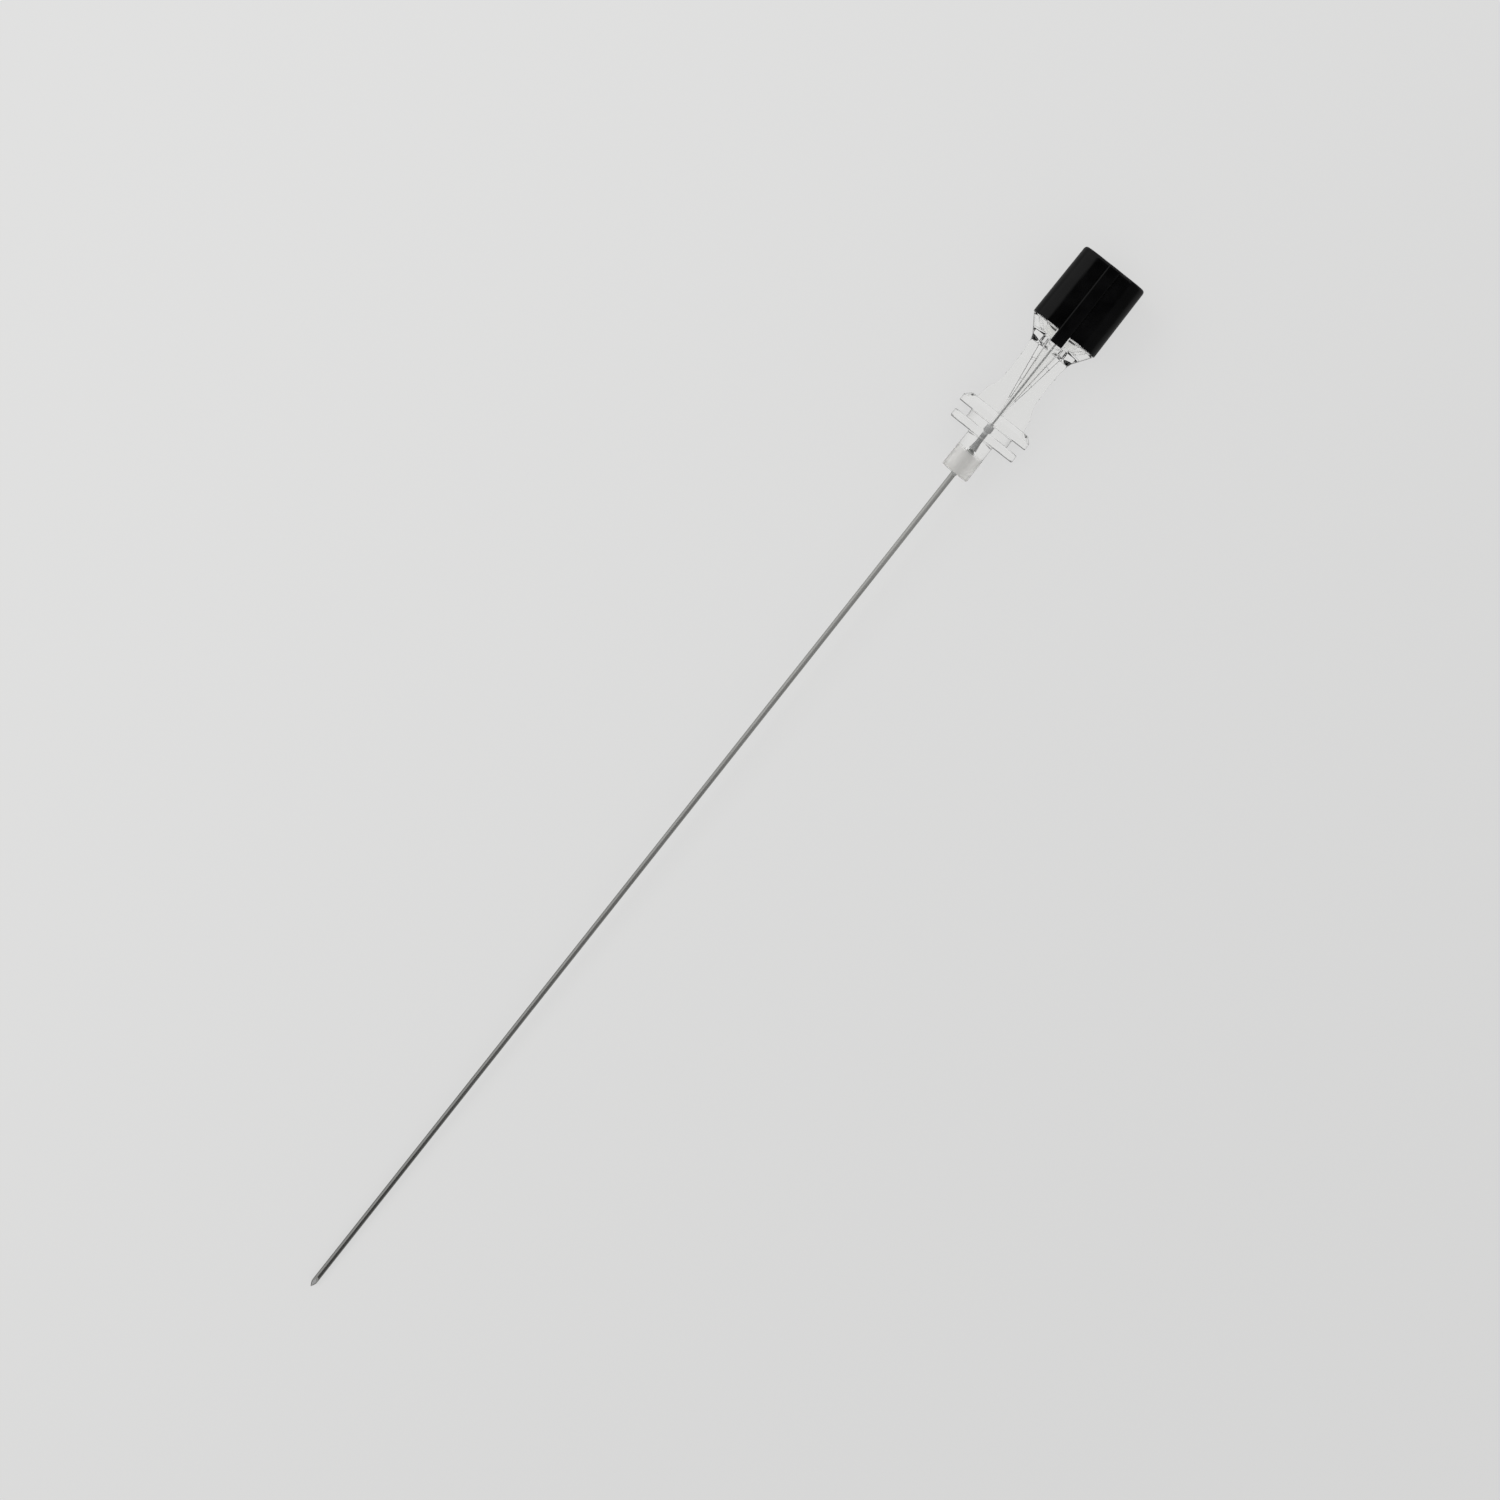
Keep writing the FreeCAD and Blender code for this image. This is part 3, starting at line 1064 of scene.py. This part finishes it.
@dataclass(frozen=True)
class Point:
    """The ground lancet point: one long bevel and two facets that meet at the tip."""

    tip: float = -127.0
    radius: float = 0.355
    bevel_length: float = 1.48
    lancet_angle: float = 30.6
    lancet_roll: float = 60.0
    cutter_size: float = 8.0
    slant: Pair = (0.2, 0.97)
    least_rise: float = 0.1

    def cutter(self, angle: float, roll: float) -> Piece:
        """Makes the block above one ground face.

        Args:
            angle: How steeply the face climbs from the tip, in degrees.
            roll: How far the face is rolled about the axis, in degrees.

        Returns:
            The block.
        """
        wide = self.cutter_size
        piece = block((-wide, wide), (-wide, wide), (0.0, wide))
        turn = Matrix.Rotation(math.radians(roll), 4, "X") @ Matrix.Rotation(math.radians(-angle), 4, "Y")
        piece.matrix_world = Matrix.Translation((self.tip, 0, -self.radius)) @ turn
        settle(piece)
        return piece

    def grind(self, piece: Piece) -> None:
        """Grinds the point on a tube or wire, and numbers its ground faces 1.

        Args:
            piece: The tube or wire.
        """
        angle = math.degrees(math.atan(2 * self.radius / self.bevel_length))
        cuts = ((angle, 0.0), (self.lancet_angle, self.lancet_roll), (self.lancet_angle, -self.lancet_roll))
        for climb, roll in cuts:
            fit(piece, self.cutter(climb, roll), Fit.DIFFERENCE)
        least, most = self.slant
        for face in piece.data.polygons:
            near = face.center.x < self.tip + 2 * self.bevel_length
            slanted = least < abs(face.normal.x) < most and face.normal.z > self.least_rise
            face.material_index = int(near and slanted)


@dataclass(frozen=True)
class Cannula:
    """The steel tube with its ground point."""

    top: float = 7.3
    radius: float = 0.355
    bore_radius: float = 0.225
    outer_ease: float = 0.03
    bore_ease: float = 0.02
    point: Point = Point()
    # The greys along the etched end are painted light and shade, with a painted highlight band near station
    # 6.1.
    finish: DrawnSteel = DrawnSteel(seat=(
        (3.2, 0.64), (3.6, 0.54), (4.4, 0.47), (5.2, 0.42), (5.8, 0.46), (6.1, 0.74), (6.4, 0.58),
        (6.9, 0.62), (7.3, 0.88)))
    ground: GroundSteel = GroundSteel()

    def build(self, axis: NeedleAxis) -> None:
        """Builds the tube.

        Args:
            axis: The needle's axis.
        """
        row = softened([
            disc(self.point.tip, self.bore_radius),
            disc(self.point.tip, self.radius),
            disc(self.top, self.radius, self.outer_ease),
            disc(self.top, self.bore_radius, self.bore_ease),
        ], steps=2)
        tube = loft("cannula_tube", row, ring=True, steps=20)
        self.point.grind(tube)
        smooth(tube, angle=25.0)
        dress(tube, axis, "needle", "cannula", self.finish.material(axis), self.ground.material(axis))


@dataclass(frozen=True)
class NoseAdhesive:
    """The cured adhesive in the nose well, with its meniscus on the tube."""

    inner_radius: float = 0.35
    well_radius: float = 0.79
    well_depth: float = 2.6
    cone_top: float = 3.57
    cone_rim: float = 0.005
    lip: float = 0.002
    flare_length: float = 0.22
    meniscus: tuple[Pair, ...] = ((0.0, 0.36), (0.35, 0.385), (0.65, 0.425), (0.88, 0.475), (1.0, 0.52))
    finish: CuredAdhesive = CuredAdhesive()

    def build(self, axis: NeedleAxis) -> None:
        """Builds the adhesive.

        Args:
            axis: The needle's axis.
        """
        row = [
            disc(-self.flare_length, self.inner_radius),
            *(disc(-self.flare_length * (1 - share), radius) for share, radius in self.meniscus),
            disc(self.lip, self.well_radius),
            disc(self.well_depth, self.well_radius),
            disc(self.cone_top, self.inner_radius + self.cone_rim),
            disc(self.cone_top, self.inner_radius),
        ]
        drop = loft("nose_adhesive", row, ring=True, steps=12)
        smooth(drop, angle=40.0)
        dress(drop, axis, "needle", "cannula_adhesive", self.finish.material(axis))


@dataclass(frozen=True)
class StyletWire:
    """The stylet's wire, which fills the tube and is ground together with it."""

    radius: float = 0.205
    middle_radius: float = 0.1
    top: float = 31.0
    top_ease: float = 0.03
    point: Point = Point()
    finish: DrawnSteel = DrawnSteel("stylet_steel", (0.7, 0.7, 0.7), (0.86, 0.86, 0.86), dulled_metal=0.45)
    ground: GroundSteel = GroundSteel("ground_wire", (0.62, 0.62, 0.6), (0.9, 0.9, 0.88))

    def build(self, axis: NeedleAxis) -> None:
        """Builds the wire.

        Args:
            axis: The needle's axis.
        """
        row = softened([
            disc(self.point.tip, self.middle_radius),
            disc(self.point.tip, self.radius),
            disc(self.top, self.radius, self.top_ease),
            disc(self.top, self.middle_radius),
        ], steps=2)
        wire = loft("stylet_wire_body", row, steps=14)
        self.point.grind(wire)
        smooth(wire, angle=25.0)
        dress(wire, axis, "stylet", "stylet_wire", self.finish.material(axis), self.ground.material(axis))


@dataclass(frozen=True)
class StyletCap:
    """The stylet's black cap, with the plug inside it and the rib on its front that ends as the key."""

    bottom: float = 21.58
    top: float = 31.7
    ceiling: float = 30.5
    bottom_size: Pair = (9.36, 7.8)
    draft: float = 0.22
    corner: float = 2.3
    wall: float = 0.6
    rim_ease: float = 0.08
    ceiling_ease: float = 0.3
    crown_ease: float = 0.5
    crown_inset: float = 1.2
    plug_end: float = 22.5
    plug_middle: float = 0.3
    plug_gap: float = 0.03
    plug_end_ease: float = 0.15
    plug_root_ease: float = 0.1
    key_end: float = 19.85
    key_end_break: float = 0.08
    key_half_width: float = 0.855
    key_inner_face: float = 2.85
    rib_height: float = 0.345
    rib_drop: float = 0.01
    rib_top_break: float = 0.3
    rib_side_break: float = 0.2
    finish: BlackGloss = BlackGloss()

    def skirt(self, socket: LuerSocket) -> Piece:
        """Makes the cap's shell with the plug inside it.

        Args:
            socket: The luer socket, whose taper the plug follows.

        Returns:
            The shell.
        """
        wide, deep = self.bottom_size
        top_wide, top_deep = wide - self.draft, deep - self.draft
        walls, inset, inner = 2 * self.wall, 2 * self.crown_inset, self.corner - self.wall
        row = [
            disc(self.plug_end, self.plug_middle),
            disc(self.plug_end, socket.taper_radius(self.plug_end) - self.plug_gap, self.plug_end_ease),
            disc(self.ceiling, socket.taper_radius(self.ceiling) - self.plug_gap, self.plug_root_ease),
            Section(self.ceiling, top_wide - walls, top_deep - walls, inner, self.ceiling_ease),
            Section(self.bottom, wide - walls, deep - walls, inner, self.rim_ease),
            Section(self.bottom, wide, deep, self.corner, self.rim_ease),
            Section(self.top, top_wide, top_deep, self.corner, self.crown_ease),
            Section(self.top, top_wide - inset, top_deep - inset, self.corner - self.crown_inset),
        ]
        return loft("stylet_cap_shell", softened(row, steps=5))

    def rib(self) -> Piece:
        """Makes the rib, which reaches down past the rim as the key.

        Returns:
            The rib.
        """
        y, back = self.key_half_width, self.key_inner_face
        front = self.bottom_size[1] / 2 + self.rib_height
        high, middle = self.top - self.rib_drop - NEAR, (back + front) / 2
        bar = block((self.key_end, self.top - self.rib_drop), (-y, y), (back, front))
        choose_points(bar, lambda p: p.x > high and p.z > middle)
        bpy.ops.transform.translate(value=(0, 0, -self.draft / 2))
        bpy.ops.object.mode_set(mode="OBJECT")
        break_edges(bar, self.rib_top_break, 5, lambda a, b: min(a.x, b.x) > high and min(a.z, b.z) > middle)
        break_edges(bar, self.rib_side_break, 5, lambda a, b: abs(abs(a.y) - y) < TINY
                    and abs(a.y - b.y) < TINY and min(a.z, b.z) > middle)
        break_edges(bar, self.key_end_break, 3, lambda a, b: max(a.x, b.x) < self.key_end + NEAR)
        return bar

    def build(self, axis: NeedleAxis, socket: LuerSocket) -> None:
        """Builds the cap.

        Args:
            axis: The needle's axis.
            socket: The luer socket that the plug sits in.
        """
        cap = self.skirt(socket)
        fit(cap, self.rib(), Fit.UNION)
        smooth(cap, angle=34.0)
        dress(cap, axis, "stylet", "stylet_cap", self.finish.material(axis))


# The studio


@dataclass(frozen=True)
class Lamp:
    """A soft rectangular lamp that faces the middle of the needle."""

    name: str
    place: Triple
    size: Pair
    watts: float

    def hang(self) -> None:
        """Hangs the lamp, unseen in gloss and through clear plastic."""
        start_fresh()
        bpy.ops.object.light_add(type="AREA", location=self.place)
        lamp = bpy.context.object
        lamp.name = self.name
        lamp.rotation_euler = (-Vector(self.place)).to_track_quat("-Z", "Y").to_euler()
        lamp.data.shape = "RECTANGLE"
        lamp.data.size, lamp.data.size_y = self.size
        lamp.data.energy = self.watts
        lamp.visible_glossy = False
        lamp.visible_transmission = False


@dataclass(frozen=True)
class Room:
    """The room's own light: plain fill, and what gloss and clear plastic show of it.

    Each edge is where one brightness turns into another: by a ray's Y between the two sides that
    gloss shows, and by its Z for the dark hood round the camera and for what clear plastic shows.
    """

    colour: Triple = (1.0, 1.0, 0.995)
    fill: float = 0.72
    background: float = 0.7
    gloss_dark: float = 0.08
    gloss_bright: float = 0.42
    gloss_edge: Pair = (-0.28, -0.04)
    hood_edge: Pair = (0.92, 0.995)
    clear_low: float = 0.74
    clear_high: float = 0.06
    clear_edge: Pair = (0.35, 0.8)

    def world(self) -> bpy.types.World:
        """Builds the room's light.

        Returns:
            The world.
        """
        s = Shades(bpy.data.worlds.new("room"))
        s.owner.cycles.sampling_method = "NONE"
        ray = s.add("ShaderNodeSeparateXYZ", s.add("ShaderNodeTexCoord").outputs["Generated"])
        side = s.spread(ray.outputs["Y"], self.gloss_dark, self.gloss_bright, *self.gloss_edge, eased=True)
        hood = s.spread(ray.outputs["Z"], 1.0, 0.0, *self.hood_edge, eased=True)
        clear = s.spread(ray.outputs["Z"], self.clear_low, self.clear_high, *self.clear_edge, eased=True)
        strength = s.by_ray(self.fill, self.background, s.work_out("MULTIPLY", side, hood), clear)
        return s.finished(s.add("ShaderNodeBackground", (*self.colour, 1.0), strength))


@dataclass(frozen=True)
class OverheadCamera:
    """The camera that looks straight down."""

    height: float = 1.14
    spot: Pair = (0.00557, -0.00146)
    turn: float = -51.65
    view_width: float = 0.18307
    view_level: float = 0.0045
    sensor: float = 36.0
    nearest: float = 0.01

    def hang(self) -> None:
        """Hangs the camera above the needle and looks through it."""
        start_fresh()
        turn = (0, 0, math.radians(self.turn))
        bpy.ops.object.camera_add(location=(*self.spot, self.height), rotation=turn)
        camera = bpy.context.object
        camera.data.sensor_width = self.sensor
        camera.data.sensor_fit = "HORIZONTAL"
        camera.data.lens = self.sensor * (self.height - self.view_level) / self.view_width
        camera.data.clip_start = self.nearest
        bpy.context.scene.camera = camera


@dataclass(frozen=True)
class Studio:
    """The plain pale ground, the soft lights and the camera."""

    ground_size: float = 6.0
    ground_level: float = -0.00002
    ground_finish: PaleFloor = PaleFloor()
    room: Room = Room()
    lamps: tuple[Lamp, ...] = (
        Lamp("side_light", (0.1, 0.75, 0.85), (1.0, 0.6), 5.0),
        Lamp("far_light", (-0.4, -0.9, 0.9), (0.8, 0.8), 2.0))
    camera: OverheadCamera = OverheadCamera()

    def lay_ground(self) -> None:
        """Lays the ground just below the needle, so that nothing cuts into it."""
        start_fresh()
        bpy.ops.mesh.primitive_plane_add(size=self.ground_size, location=(0, 0, self.ground_level))
        ground = bpy.context.object
        ground.name = "ground"
        settle(ground)
        ground.data.materials.append(self.ground_finish.material())

    def build(self) -> None:
        """Builds the studio."""
        self.lay_ground()
        bpy.context.scene.world = self.room.world()
        for lamp in self.lamps:
            lamp.hang()
        self.camera.hang()
        bpy.context.scene.view_settings.view_transform = "Standard"
        log.info("studio: ground, %d lamps, camera", len(self.lamps))


def main() -> None:
    """Builds every piece in order, then the studio."""
    logging.basicConfig(level=logging.INFO, format="%(name)s: %(message)s")
    hub = Hub()
    axis = NeedleAxis(frame["record"], hub.socket.mouth)
    hub.build(axis)
    Cannula().build(axis)
    NoseAdhesive().build(axis)
    StyletWire().build(axis)
    StyletCap().build(axis, hub.socket)
    Studio().build()
    start_fresh()


if __name__ == "__main__":
    main()
